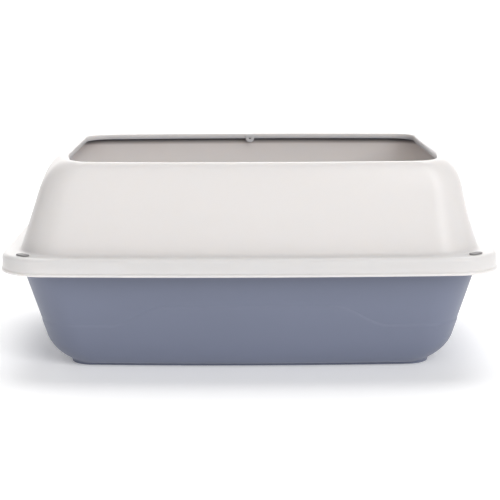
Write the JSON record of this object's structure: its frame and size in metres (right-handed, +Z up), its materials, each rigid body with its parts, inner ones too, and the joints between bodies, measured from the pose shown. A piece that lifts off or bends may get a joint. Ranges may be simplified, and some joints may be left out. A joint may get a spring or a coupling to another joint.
{
  "type": "cat litter box with hood",
  "caption": "Open-top cat litter box: a deep flared pan on a low foot, a high lift-off hood with a wide top opening, and push-in corner studs that hold the two together.",
  "frame": {"origin": "on the floor, under the middle of the box", "axes": "+X along the long side, to the right seen from the front; +Y towards the rear, where the eyelet tab is; +Z up"},
  "size_m": [0.56, 0.4, 0.236],
  "materials": {
    "pan_plastic": "blue-grey moulded polypropylene, satin with a fine moulded grain",
    "hood_plastic": "warm white moulded polypropylene, glossy",
    "stud_plastic": "grey moulded plastic, satin"
  },
  "bodies": {
    "pan": {"pan": "pan_plastic"},
    "hood": {"hood": "hood_plastic"},
    "front_left_stud": {"front_left_stud": "stud_plastic"},
    "front_right_stud": {"front_right_stud": "stud_plastic"},
    "rear_left_stud": {"rear_left_stud": "stud_plastic"},
    "rear_right_stud": {"rear_right_stud": "stud_plastic"}
  },
  "joints": [
    {"name": "hood_lift", "type": "slide", "parent": "pan", "child": "hood", "axis": [0, 0, 1], "range_m": [0, 0.25]},
    {"name": "front_left_stud_pull", "type": "slide", "parent": "hood", "child": "front_left_stud", "axis": [0, 0, 1], "range_m": [0, 0.014]},
    {"name": "front_right_stud_pull", "type": "slide", "parent": "hood", "child": "front_right_stud", "axis": [0, 0, 1], "range_m": [0, 0.014]},
    {"name": "rear_left_stud_pull", "type": "slide", "parent": "hood", "child": "rear_left_stud", "axis": [0, 0, 1], "range_m": [0, 0.014]},
    {"name": "rear_right_stud_pull", "type": "slide", "parent": "hood", "child": "rear_right_stud", "axis": [0, 0, 1], "range_m": [0, 0.014]}
  ]
}
